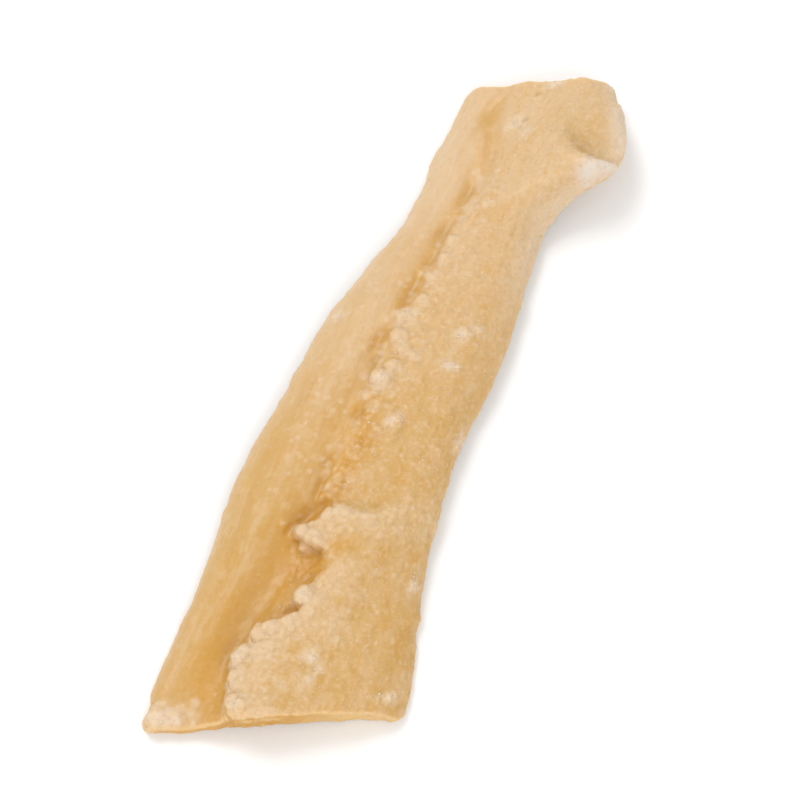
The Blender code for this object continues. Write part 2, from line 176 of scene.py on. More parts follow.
@dataclass(frozen=True)
class StripPlan:
    """Where things lie on the strip, in its own slanting measure.

    A station runs from 0 at the broad cut to 1 at the narrow one, and x is the distance from the
    strip's axis. The first lines, which give x by station where nothing else is said, repeat those
    that shape the solid.
    """

    core_length: float = 55.0
    cut_slant: float = 0.46
    axis_x: float = 0.76
    middle_y: float = 1.27
    left_edge: Line = (
        (0.0, -9.2), (0.1, -9.5), (0.2, -9.3), (0.38, -9.9), (0.52, -9.1), (0.63, -8.5),
        (0.69, -7.5), (0.735, -6.9), (0.77, -6.15), (0.8, -5.8), (0.84, -5.75), (0.9, -5.9),
        (0.95, -5.5), (1.0, -5.55),
    )
    right_edge: Line = (
        (0.0, 8.5), (0.07, 7.7), (0.19, 6.1), (0.3, 5.1), (0.42, 4.8), (0.52, 5.2), (0.64, 4.8),
        (0.72, 4.4), (0.765, 4.6), (0.785, 5.1), (0.8, 5.8), (0.82, 7.6), (0.84, 8.1),
        (0.87, 7.95), (0.93, 6.95), (1.0, 5.6),
    )
    furrow_line: Line = (
        (0.0, -5.7), (0.095, -5.25), (0.227, -4.1), (0.418, -3.35), (0.571, -3.55),
        (0.741, -2.45), (0.874, -1.95), (1.0, -2.8),
    )
    torn_top: Line = (
        (-4.2, 0.272), (-3.6, 0.281), (-2.6, 0.291), (-1.9, 0.306), (-1.2, 0.305), (-0.4, 0.297),
        (0.5, 0.294), (1.7, 0.301), (5.0, 0.325),
    )  # x, station
    torn_edge: Line = (
        (0.0, -3.1), (0.02, -3.9), (0.04, -4.05), (0.066, -4.4), (0.086, -4.75), (0.104, -4.15),
        (0.124, -3.7), (0.145, -1.2), (0.168, -2.1), (0.19, -1.25), (0.233, -1.1), (0.252, -2.6),
        (0.268, -4.0), (0.296, -2.3), (0.47, -2.1), (1.0, -1.2),
    )
    torn_width: float = 0.3
    layer_fades: Span = (0.8, 4.0)  # x over which the layer's top edge grows soft
    layer_softness: Span = (0.008, 0.09)  # of that edge where it is crisp, and how much is added

    # The same torn edge as a walk from the broad cut round the tab and across, with how lumpy it
    # is there: (x, station, lumpiness)
    torn_walk: Lumps = (
        (-3.1, 0.0, 0.6), (-3.9, 0.02, 0.8), (-4.05, 0.04, 0.8), (-4.4, 0.066, 0.9),
        (-4.7, 0.086, 1.0), (-4.15, 0.104, 1.0), (-3.8, 0.124, 1.0), (-2.6, 0.134, 1.0),
        (-1.3, 0.14, 0.9), (-1.1, 0.15, 0.9), (-2.0, 0.163, 1.0), (-1.9, 0.178, 0.9),
        (-1.25, 0.19, 0.5), (-1.15, 0.23, 0.4), (-1.9, 0.243, 0.3), (-3.2, 0.254, 0.3),
        (-4.0, 0.27, 0.3), (-3.7, 0.28, 0.3), (-2.6, 0.289, 0.3), (-1.9, 0.305, 0.4),
        (-1.2, 0.303, 0.5), (-0.4, 0.297, 0.4), (0.5, 0.295, 0.3), (1.6, 0.3, 0.3),
        (3.0, 0.309, 0.1),
    )
    rim_reach: float = 2.2  # of the layer's swollen rim

    # The clear amber flesh: the middle, half width and strength of its band at stations
    amber_middle: Line = (
        (0.0, -5.0), (0.086, -5.6), (0.16, -4.6), (0.235, -3.4), (0.322, -3.0), (0.396, -2.3),
        (0.467, -2.9), (0.572, -3.65), (0.644, -3.05), (0.742, -2.55), (0.831, -2.0),
        (0.895, -2.05), (0.958, -3.0), (1.0, -2.5),
    )
    amber_reach: Line = (
        (0.0, 1.6), (0.085, 1.7), (0.175, 2.1), (0.27, 2.0), (0.35, 1.1), (0.43, 1.8),
        (0.5, 1.0), (0.62, 0.85), (0.78, 0.95), (0.89, 0.9), (1.0, 0.8),
    )
    amber_strength: Line = (
        (0.0, 0.55), (0.045, 1.0), (0.13, 0.9), (0.22, 1.0), (0.31, 0.9), (0.37, 0.85),
        (0.47, 0.75), (0.53, 0.5), (0.57, 0.7), (0.6, 0.35), (0.64, 0.95), (0.74, 0.75),
        (0.825, 0.9), (0.89, 0.6), (0.955, 1.0), (1.0, 0.2),
    )

    pits: tuple[Spot, ...] = spots(
        (0.305, -3.4, 0.7, 0.7), (0.279, -4.5, 0.5, 0.3), (0.311, -2.75, 0.6, 0.5),
        (0.345, -3.6, 1.1, 0.35), (0.338, -2.15, 1.3, 0.8), (0.379, -3.8, 0.7, 0.35),
        (0.223, -2.35, 1.3, 1.1), (0.204, -1.65, 0.6, 0.6), (0.15, -1.85, 0.45, 0.7),
        (0.243, -1.75, 0.5, 0.6), (0.404, -1.8, 0.9, 0.9), (0.452, -2.85, 0.8, 0.6),
        (0.571, -3.85, 0.9, 0.4), (0.54, -3.4, 0.6, 0.35), (0.65, -3.05, 1.3, 0.42),
        (0.696, -2.55, 0.8, 0.55), (0.747, -2.55, 1.0, 0.42), (0.814, -2.05, 0.9, 0.45),
        (0.958, -3.2, 1.2, 0.6), (0.931, -0.05, 0.25, 0.2), (0.977, 0.0, 0.25, 0.2),
    )
    notch: tuple[Spot, ...] = spots((0.212, -1.1, 1.2, 1.3))  # where the torn edge is smoothed
    stain: tuple[Spot, ...] = spots(
        (0.213, -1.0, 1.6, 1.2), (0.238, -0.2, 1.3, 1.3), (0.195, -3.1, 1.6, 1.0)
    )
    salt: tuple[Spot, ...] = spots(
        (0.052, 1.5, 1.0, 0.8), (0.074, 0.9, 0.6, 0.6), (0.018, 6.9, 0.5, 0.7),
        (0.411, 4.7, 1.0, 0.3), (0.186, 5.65, 1.1, 0.35), (0.571, 1.9, 0.4, 0.5),
        (0.578, 2.7, 0.4, 0.4), (0.519, 1.9, 0.3, 0.4), (0.515, 2.5, 0.3, 0.3),
        (0.617, -7.6, 0.5, 0.5), (0.928, -0.7, 0.6, 0.7), (0.906, 0.4, 0.5, 0.5),
        (0.992, 1.0, 0.4, 0.6), (0.011, -8.3, 0.9, 1.0), (0.003, -6.9, 0.6, 1.2),
        (0.985, 5.2, 0.5, 0.6), (0.604, -2.65, 0.6, 0.6), (0.504, -2.45, 0.6, 0.6),
        (0.435, -0.25, 0.5, 0.5), (0.084, -4.1, 0.9, 0.5), (0.167, -1.5, 0.5, 0.5),
        (0.012, -3.0, 0.5, 0.6),
    )
    corner: tuple[Spot, ...] = spots((0.012, -7.9, 1.2, 1.5))  # the crumpled left one
    lips: tuple[Spot, ...] = spots((0.831, 7.3, 1.1, 0.9), (0.819, 6.3, 1.0, 0.9))
    crease_line: Line = ((3.0, 0.888), (4.3, 0.874), (6.0, 0.853), (7.5, 0.842))  # x, station
    crease_from: Span = (3.4, 5.4)  # x over which the crease deepens
    crease_reach: Span = (0.5, 2.6)  # below it and above it

    block_pitch: float = 3.85  # one muscle block to each vertebra
    block_slope: float = 0.8  # of the chevrons that they make
    seam_width: float = 0.22
    thin_at: float = 0.9

    def bottom(self, station: float) -> float:
        """The x of the furrow's bottom at a station."""
        return float(through(self.furrow_line, np.array([station]))[0])

    def place(self, station: float, x: float) -> np.ndarray:
        """The x and y in the frame of a place on the strip."""
        y = self.core_length * (station - 0.5) + self.cut_slant * x
        return np.array((x + self.axis_x, y + self.middle_y))

    def walk(self) -> np.ndarray:
        """The corners of the torn edge's walk: x and y in the frame, and how lumpy it is there."""
        return np.array([(*self.place(station, x), lumpy) for x, station, lumpy in self.torn_walk])


def deselect_all() -> None:
    """Leaves nothing selected, the solids of the frame included."""
    for thing in bpy.context.selected_objects:
        thing.select_set(False)


def choose(thing: Thing) -> None:
    """Makes one object the only selected and the active one."""
    deselect_all()
    thing.select_set(True)
    bpy.context.view_layer.objects.active = thing


def link(name: str, content: bpy.types.ID) -> Thing:
    """Puts a mesh, a lamp or a camera into the scene, as an object of a name."""
    thing = bpy.data.objects.new(name, content)
    bpy.context.scene.collection.objects.link(thing)
    return thing


def add_ball() -> Thing:
    """A ball of radius 1, which crumbs and grains are shaped from."""
    deselect_all()
    bpy.ops.mesh.primitive_ico_sphere_add(subdivisions=2, radius=1.0)
    return bpy.context.object


def points_of(mesh: Mesh) -> np.ndarray:
    """The points of a mesh in metres, one a row."""
    flat = np.empty(len(mesh.vertices) * 3)
    mesh.vertices.foreach_get("co", flat)
    return flat.reshape(-1, 3)


def ground_of(mesh: Mesh) -> BVHTree:
    """A mesh's surface, to cast rays at."""
    return BVHTree.FromPolygons(points_of(mesh).tolist(), [p.vertices[:] for p in mesh.polygons])


def drop(ground: BVHTree, x: float, y: float, level: float) -> tuple[Vector, Vector] | None:
    """Where a plumb line meets ground that looks up enough, in metres, and the way out of it."""
    hit, normal, _, _ = ground.ray_cast(Vector((x * MM, y * MM, RAY_START)), Vector((0, 0, -1)))
    return None if hit is None or normal.z < level else (hit, normal)


def apply_modifier(thing: Thing, kind: str, **settings: object) -> None:
    """Adds a modifier and applies it at once.

    Args:
        thing: The object, which becomes the active one.
        kind: The modifier's type.
        settings: Its settings by name.
    """
    choose(thing)
    modifier = thing.modifiers.new(kind.lower(), kind)
    for name, value in settings.items():
        setattr(modifier, name, value)
    bpy.ops.object.modifier_apply(modifier=modifier.name)


class Skin:
    """A mesh's points and outward directions, and where each point lies on the strip."""

    def __init__(self, mesh: Mesh, plan: StripPlan) -> None:
        """Measures a mesh.

        Args:
            mesh: The mesh, in metres.
            plan: Where things lie on the strip.
        """
        self.mesh, self.plan, self.points = mesh, plan, points_of(mesh) / MM
        flat = np.empty(len(mesh.vertices) * 3, np.float32)
        mesh.vertex_normals.foreach_get("vector", flat)
        self.normals = flat.reshape(-1, 3).astype(float)
        self.up = self.normals[:, 2]
        self.x, y = self.points[:, 0] - plan.axis_x, self.points[:, 1] - plan.middle_y
        self.station = (y - plan.cut_slant * self.x) / plan.core_length + 0.5
        self.from_cut = np.minimum(self.station, 1 - self.station) * plan.core_length
        self.from_furrow = self.x - through(plan.furrow_line, self.station)
        self.from_left = self.x - through(plan.left_edge, self.station)
        self.from_right = through(plan.right_edge, self.station) - self.x
        self.from_torn, self.lumpiness = self.to_torn_edge()
        self.above_crease = (self.station - through(plan.crease_line, self.x)) * plan.core_length
        self.creased = ease(*plan.crease_from, self.x)

    def to_torn_edge(self) -> tuple[np.ndarray, np.ndarray]:
        """Measures how far points lie from the torn edge, seen from above.

        Returns:
            The distances, and how lumpy the edge is where it is nearest.
        """
        corners, here = self.plan.walk(), self.points[:, :2]
        nearest, lumps = np.full(len(here), np.inf), np.zeros(len(here))
        for start, run in zip(corners, np.diff(corners, axis=0)):
            share = np.clip((here - start[:2]) @ run[:2] / (run[:2] @ run[:2]), 0, 1)
            there = start + share[:, None] * run
            distance = np.linalg.norm(here - there[:, :2], axis=1)
            lumps = np.where(distance < nearest, there[:, 2], lumps)
            nearest = np.minimum(nearest, distance)
        return nearest, lumps

    def move(self, points: np.ndarray) -> None:
        """Puts the mesh's points where the rows say."""
        self.mesh.vertices.foreach_set("co", (points * MM).ravel())
        self.mesh.update()

    def within(self, chosen: Sequence[Spot]) -> np.ndarray:
        """Measures how far points lie in any of some spots.

        Args:
            chosen: The spots.

        Returns:
            The share, from 0 to 1.
        """
        share = np.zeros(len(self.points))
        for spot in chosen:
            along = (self.station - spot.station) * self.plan.core_length / spot.along
            across = (self.x - spot.x) / spot.across
            share = np.maximum(share, np.exp(-(along**2) - across**2))
        return share

    def layer(self) -> np.ndarray:
        """Finds the crusted upper layer.

        Returns:
            1 on the layer and 0 off it, with a soft change at its torn edge.
        """
        plan = self.plan
        past_edge = self.x - through(plan.torn_edge, self.station)
        crisp, added = plan.layer_softness
        soft = crisp + added * ease(*plan.layer_fades, self.x)
        below_top = (through(plan.torn_top, self.x) - self.station) / soft
        return ease(-plan.torn_width, plan.torn_width, past_edge) * ease(-1, 1, below_top)

    def rim(self) -> np.ndarray:
        """How far points lie on the pale rim of the torn layer."""
        wander = 1 + 0.5 * uneven(self.points, 2.2, 14)
        return self.layer() * ease(2 * self.plan.rim_reach * wander, 0.2, self.from_torn)

    def amber(self) -> np.ndarray:
        """How clear and amber the flesh is."""
        away = self.x - through(self.plan.amber_middle, self.station)
        reach = through(self.plan.amber_reach, self.station)
        return through(self.plan.amber_strength, self.station) * peak(away, reach)

    def bank(self) -> np.ndarray:
        """How far points lie on the crumbly bank right of the furrow."""
        across = ease(0.1, 0.6, self.from_furrow) * ease(3.4, 1.3, self.from_furrow)
        return across * ease(0.3, 0.34, self.station) * ease(0.84, 0.74, self.station)

    def wall(self) -> np.ndarray:
        """How far points lie on the steep wall under the torn edge."""
        near = ease(1.3, 0.6, self.from_torn) * ease(0.02, 0.05, self.station)
        return near * ease(0.75, 0.45, self.up) * ease(-0.2, 0.1, self.up)

    def cup(self) -> np.ndarray:
        """Finds the hollow above the curled corner's crease.

        Returns:
            How far points lie in it, which is where its shade is painted.
        """
        low, high = self.plan.crease_reach
        above = ease(-low, 0.3 * low, self.above_crease)
        above *= ease(1.6 * high, 0.3 * high, self.above_crease)
        inside = ease(0.2, 1.4, self.from_right)
        return np.maximum(self.creased, 0.7 * ease(1.0, 3.4, self.x)) * inside * above

    def lip(self) -> np.ndarray:
        """Finds the curled corner's turned-up lip, and that edge, where highlights are painted.

        Returns:
            How far points lie on them.
        """
        below = ease(0, -self.plan.crease_reach[0], self.above_crease)
        # a faint painted highlight along the upper right edge
        glow = ease(1.7, 0.3, self.from_right) * ease(0.62, 0.7, self.station)
        glow *= (0.22 + 0.2 * ease(0.83, 0.87, self.station)) * ease(0.98, 0.93, self.station)
        return np.maximum(self.within(self.plan.lips) * below, glow)

    def shaded_slit(self) -> np.ndarray:
        """How far points lie between the two layers that the broad cut shows, where shade is
        painted.
        """
        facing = ease(-0.35, -0.75, self.normals[:, 1]) * ease(0.1, 0.03, self.station)
        between = ease(0.15, 0.4, self.points[:, 2]) * ease(0.5, 0.25, self.up)
        return facing * between * ease(-8.6, -7.6, self.x) * ease(6.0, -1.0, self.x)

    def seams(self) -> np.ndarray:
        """Draws the chevron seams of the muscle blocks on the outer side.

        Returns:
            1 in a seam and 0 between the seams.
        """
        plan, wander = self.plan, 0.35 * uneven(self.points, 3.0, 12)
        chevron = self.points[:, 1] - plan.block_slope * np.abs(self.from_furrow) + wander
        phase = chevron / plan.block_pitch
        away = (phase - np.round(phase)) * plan.block_pitch
        return peak(away, plan.seam_width) * ease(-0.2, -0.6, self.up)

    def thinness(self) -> np.ndarray:
        """Measures how thin the strip is under each point.

        Returns:
            1 on the thinnest edges and 0 where it is thick.
        """
        tree, reach, start = ground_of(self.mesh), 4 * MM, 0.02 * MM
        depth = np.full(len(self.points), reach)
        rows = zip(points_of(self.mesh).tolist(), self.normals.tolist())
        for k, (point, normal) in enumerate(rows):
            inward = -Vector(normal)
            distance = tree.ray_cast(Vector(point) + inward * start, inward, reach)[3]
            if distance is not None:
                depth[k] = distance
        return ease(2.2 * self.plan.thin_at, 0.6 * self.plan.thin_at, depth / MM)

    def smoothed(self, rounds: int) -> np.ndarray:
        """Moves each point to the middle of its neighbours.

        Args:
            rounds: How many times they are moved.

        Returns:
            The moved points.
        """
        flat = np.empty(len(self.mesh.edges) * 2, int)
        self.mesh.edges.foreach_get("vertices", flat)
        first, second = flat.reshape(-1, 2).T
        count = np.bincount(flat, minlength=len(self.points))[:, None]
        smooth = self.points
        for _ in range(rounds):
            total = np.empty_like(smooth)
            for axis in range(3):
                total[:, axis] = np.bincount(first, smooth[second, axis], len(smooth))
                total[:, axis] += np.bincount(second, smooth[first, axis], len(smooth))
            smooth = total / count
        return smooth

    def hollowness(self, rounds: int) -> np.ndarray:
        """How deep points lie under the surface around them, which rounds of smoothing find."""
        return ((self.smoothed(rounds) - self.points) * self.normals).sum(axis=1)


class Signal:
    """A number that changes over the surface; arithmetic on it adds Math nodes."""

    def __init__(self, paint: "Paint", socket: bpy.types.NodeSocket) -> None:
        """Wraps an output socket."""
        self.paint = paint
        self.socket = socket

    def math(self, operation: str, *operands: object, clamp: bool = False) -> "Signal":
        """Adds one Math node, with signals or numbers for its inputs in order."""
        settings = {"operation": operation, "use_clamp": clamp}
        return self.paint.add("ShaderNodeMath", settings, dict(enumerate(operands)))

    def __add__(self, other: object) -> "Signal":
        """The sum."""
        return self.math("ADD", self, other)

    __radd__ = __add__

    def __sub__(self, other: object) -> "Signal":
        """The difference."""
        return self.math("SUBTRACT", self, other)

    def __rsub__(self, other: object) -> "Signal":
        """The difference from a number."""
        return self.math("SUBTRACT", other, self)

    def __mul__(self, other: object) -> "Signal":
        """The product."""
        return self.math("MULTIPLY", self, other)

    def clamp(self) -> "Signal":
        """The same, kept between 0 and 1."""
        return self.math("ADD", self, 0.0, clamp=True)

    def ease(self, low: float, high: float) -> "Signal":
        """Rises smoothly from 0 at low to 1 at high."""
        ends = {"Value": self, "From Min": low, "From Max": high}
        return self.paint.add("ShaderNodeMapRange", {"interpolation_type": "SMOOTHSTEP"}, ends)


class Paint:
    """The node tree of one material, and the shader that it feeds."""

    def __init__(self, name: str) -> None:
        """Starts a material of a name with a plain Principled shader."""
        self.material = bpy.data.materials.new(name)
        self.material.use_nodes = True
        self.tree = self.material.node_tree
        self.shader = self.tree.nodes["Principled BSDF"]

    def add(
        self, kind: str, settings: Values | None = None, inputs: Values | None = None,
        output: str | int = 0,
    ) -> Signal:
        """Adds any node.

        Args:
            kind: The node's type.
            settings: Its settings by name, which are set first.
            inputs: What its sockets hold or are linked to, by name or number.
            output: The output that is wanted.

        Returns:
            That output.
        """
        node = self.tree.nodes.new(kind)
        for name, value in (settings or {}).items():
            setattr(node, name, value)
        for name, value in (inputs or {}).items():
            self.feed(node.inputs[name], value)
        return Signal(self, node.outputs[output])

    def feed(self, socket: bpy.types.NodeSocket, value: object) -> None:
        """Links a signal to a socket, or sets the socket's value."""
        if isinstance(value, Signal):
            self.tree.links.new(value.socket, socket)
        elif isinstance(value, tuple) and len(value) == 3 and socket.type == "RGBA":
            socket.default_value = (*value, 1.0)
        else:
            socket.default_value = value

    def zone(self, zone: Zone) -> Signal:
        """How far the surface belongs to a painted zone."""
        return self.add("ShaderNodeAttribute", {"attribute_name": zone.value}, output="Fac")

    def places(self, scale: Triple = (1.0, 1.0, 1.0)) -> Signal:
        """The object's own coordinates, stretched by a scale for each axis."""
        object_places = self.add("ShaderNodeTexCoord", output="Object")
        return self.add("ShaderNodeMapping", {}, {"Vector": object_places, "Scale": scale})

    def noise(
        self, where: Signal, size: float, detail: float = 3.0, roughness: float = 0.55
    ) -> Signal:
        """Cloudy noise.

        Args:
            where: The coordinates it is taken at.
            size: The size of its lumps in millimetres.
            detail: How many finer levels it has.
            roughness: How strong they are.

        Returns:
            A number around 0.5.
        """
        sizes = {"Scale": 1 / (size * MM), "Detail": detail, "Roughness": roughness}
        return self.add("ShaderNodeTexNoise", {}, {"Vector": where, **sizes}, output="Fac")

    def mix(self, first: object, second: object, share: object) -> Signal:
        """Mixes two colours.

        Args:
            first: The colour at share 0.
            second: The colour at share 1.
            share: A signal or a number.

        Returns:
            The mixed colour.
        """
        node = self.tree.nodes.new("ShaderNodeMix")
        node.data_type = "RGBA"
        self.feed(node.inputs["Factor"], share)
        for socket, value in zip([s for s in node.inputs if s.type == "RGBA"], (first, second)):
            self.feed(socket, value)
        return Signal(self, next(s for s in node.outputs if s.type == "RGBA"))

    def coats(self, colour: Signal, *coats: tuple[object, object]) -> Signal:
        """Lays coats over a colour.

        Args:
            colour: The colour.
            coats: Each coat's colour and how far it covers, from the lowest to the highest.

        Returns:
            The coated colour.
        """
        for coat, share in coats:
            colour = self.mix(colour, coat, share)
        return colour

    def bump(self, height: Signal, depth: float, under: Signal | None = None) -> Signal:
        """Turns a height into a direction for the shader's Normal.

        Args:
            height: The height, as a share of the depth.
            depth: The relief's depth in millimetres.
            under: A coarser bump that this one lies on.

        Returns:
            The direction.
        """
        below = {} if under is None else {"Normal": under}
        return self.add("ShaderNodeBump", {}, {"Height": height, "Distance": depth * MM, **below})

    def set(self, **sockets: object) -> None:
        """Sets or links the shader's sockets, with _ for a space in their names."""
        for name, value in sockets.items():
            self.feed(self.shader.inputs[name.replace("_", " ")], value)


@dataclass(frozen=True)
class FishFinish:
    """Waxy, slightly translucent flesh under a dry crust of salt."""

    low: Colour = from_screen(217, 173, 104)
    high: Colour = from_screen(230, 199, 162)
    # painted shade for the right flank, which slopes away from the light
    shade: Colour = from_screen(210, 163, 86)
    amber: Colour = from_screen(217, 161, 61)
    # dark clear amber of the pits, also used for painted shade in hollows and in the broad cut's
    # slit
    pit: Colour = from_screen(212, 152, 52)
    high_pit: Colour = from_screen(220, 174, 106)
    # painted shade for the curled corner's hollow
    cup: Colour = from_screen(213, 180, 128)
    crust: Colour = from_screen(231, 192, 138)
    # pale crumbs, also used for the painted highlight on small ridges
    crumb: Colour = from_screen(233, 204, 170)
    # the pale rim, also used for painted light through thin edges
    rim: Colour = from_screen(234, 204, 165)
    skin: Colour = from_screen(218, 178, 118)
    # painted light for the cut faces
    cut: Colour = from_screen(248, 208, 146)
    salt: Colour = from_screen(240, 218, 194)
    # the lip's pinkish white, also used for painted highlights on it and along the right edge
    lip: Colour = from_screen(240, 232, 227)
    glow: Colour = (1.0, 0.65, 0.35)  # how far red, green and blue light spreads in it
    glow_depth: float = 1.1

    def make(self) -> bpy.types.Material:
        """Builds the material.

        Returns:
            The material for the skin.
        """
        paint = Paint("salted dried fish")
        on = SimpleNamespace(**{zone.value: paint.zone(zone) for zone in Zone})
        places, along = paint.places(), paint.places((1.0, 0.12, 1.0))
        clouds = paint.noise(places, 4.5)
        mottle = paint.noise(places, 1.3, 4, 0.6)
        grain = paint.noise(places, 0.32, 4, 0.65)
        fibres = paint.noise(along, 0.3, 5, 0.6)
        strands = paint.noise(along, 0.9)
        patches = paint.noise(paint.places((1.0, 0.45, 1.0)), 1.7, 2)
        sheets = paint.noise(paint.places((0.25, 1.0, 2.2)), 0.5)
        crusted = (on.crust + on.layer).clamp()
        wet = (on.amber + on.pit).clamp()
        # the pits' colour, which also serves as painted shade in hollows
        pit = paint.mix(self.pit, self.high_pit, on.upper)
        clear = on.amber * (0.55 + mottle * 1.1) * (1 - on.upper * 0.3)
        bloom = grain.ease(0.53, 0.7) * (crusted * 0.28 + on.crumb * 0.2 + 0.12)
        colour = paint.coats(
            paint.mix(self.low, self.high, on.upper),
            # painted shade on the right flank
            (self.shade, on.shade * (0.5 + mottle * 0.6)),
            (self.amber, (clouds * 1.7 - 0.6).clamp() * 0.35),
            (self.amber, strands.ease(0.5, 0.75) * (0.2 - crusted * 0.12)),
            (self.rim, mottle.ease(0.48, 0.72) * 0.4),
            (self.crumb, strands.ease(0.5, 0.32) * (0.34 - crusted * 0.24)),
            (self.rim, on.border * 0.15),
            (self.crust, crusted * (mottle * 1.5 - 0.25).clamp() * 0.7),
            (self.amber, patches.ease(0.52, 0.7) * (0.12 + crusted * 0.16)),
            (self.crumb, patches.ease(0.48, 0.3) * (0.1 + crusted * 0.2)),
            (self.amber, clear.clamp()),
            (pit, (on.pit * (0.3 + mottle * 1.1)).clamp()),
            # painted shade in small pits and folds, less on the crusted layer
            (pit, on.hollow * (0.36 - on.layer * 0.22)),
            # painted shade in the curled corner's hollow
            (self.cup, on.cup * (0.4 + mottle * 0.6)),
            (self.skin, on.under * (0.4 + clouds * 0.7)),
            (self.amber, on.seam * 0.6),
            (self.rim, on.rim * (0.35 + mottle * 0.7)),
            (self.crumb, (on.crumb * (0.3 + mottle * 0.8)).clamp()),
            # painted light on the cut faces
            (self.cut, on.cut.ease(0.2, 0.7) * 0.8),
            # painted light through thin edges and the right border's painted highlight, weaker
            # where the right flank's shade is painted
            (self.rim, on.thin * (0.65 - on.shade * 0.4)),
            # painted highlight on small ridges, stronger on the rim
            (self.crumb, on.crest * (0.3 + on.rim * 0.4)),
            # clear flesh and painted shade in the broad cut's slit
            (self.pit, (on.shaded_slit * (0.4 + mottle * 0.8)).clamp()),
            (self.salt, (bloom + on.pale * mottle.ease(0.3, 0.6) * 0.9).clamp()),
            # the lip, with painted highlights on it and along the right edge
            (self.lip, on.lip * (0.5 + mottle * 0.7)),
            (self.amber, grain.ease(0.47, 0.3) * (0.26 + crusted * 0.1)),
        )
        rough = 0.5 + crusted * 0.1 + on.crumb * 0.08 - wet * 0.14
        fine = fibres * (0.6 - crusted * 0.3 - wet * 0.45) + grain * (0.25 + crusted * 0.6)
        direction = paint.bump(strands * (1 - wet * 0.8), 0.1)
        direction = paint.bump(fine, 0.08, direction)
        direction = paint.bump(sheets * on.cut, 0.25, direction)
        paint.set(Base_Color=colour, Roughness=(rough + (grain - 0.5) * 0.25).clamp())
        paint.set(Normal=direction, IOR=1.46, Subsurface_Weight=0.45)
        paint.set(Subsurface_Radius=self.glow, Subsurface_Scale=self.glow_depth * MM)
        paint.set(Specular_IOR_Level=0.35, Coat_Weight=0.04 + wet * 0.16, Coat_Roughness=0.35)
        return paint.material


@dataclass(frozen=True)
class SaltFinish:
    """White, slightly clear salt."""

    colour: Colour = from_screen(240, 222, 200)
    dusty: Colour = from_screen(234, 206, 170)
    glow: Colour = (1.0, 0.9, 0.8)
    glow_depth: float = 0.05

    def make(self) -> bpy.types.Material:
        """Builds the material.

        Returns:
            The material for the salt grains.
        """
        paint = Paint("salt grains")
        tint = paint.noise(paint.places(), 0.7, 2)
        colour = paint.mix(self.colour, self.dusty, tint.ease(0.35, 0.65))
        paint.set(Base_Color=colour, Roughness=0.6 + tint * 0.25, IOR=1.5)
        paint.set(Subsurface_Weight=0.2, Subsurface_Radius=self.glow)
        paint.set(Subsurface_Scale=self.glow_depth * MM, Specular_IOR_Level=0.08)
        return paint.material


@dataclass(frozen=True)
class FloorFinish:
    """A plain white studio floor."""

    colour: Colour = (0.93, 0.93, 0.93)

    def make(self) -> bpy.types.Material:
        """Builds the material.

        Returns:
            The material for the floor.
        """
        paint = Paint("white floor")
        paint.set(Base_Color=self.colour, Roughness=0.9, Specular_IOR_Level=0.1)
        return paint.material


@dataclass(frozen=True)
class Crumb:
    """One crumb of torn flesh: its place in the frame, seen from above, and its size and form."""

    x: float
    y: float
    radius: float
    flatness: float = 0.75
    length: float = 1.0  # as a share of the width
    turn: float = 0.0
    paleness: float = 1.0


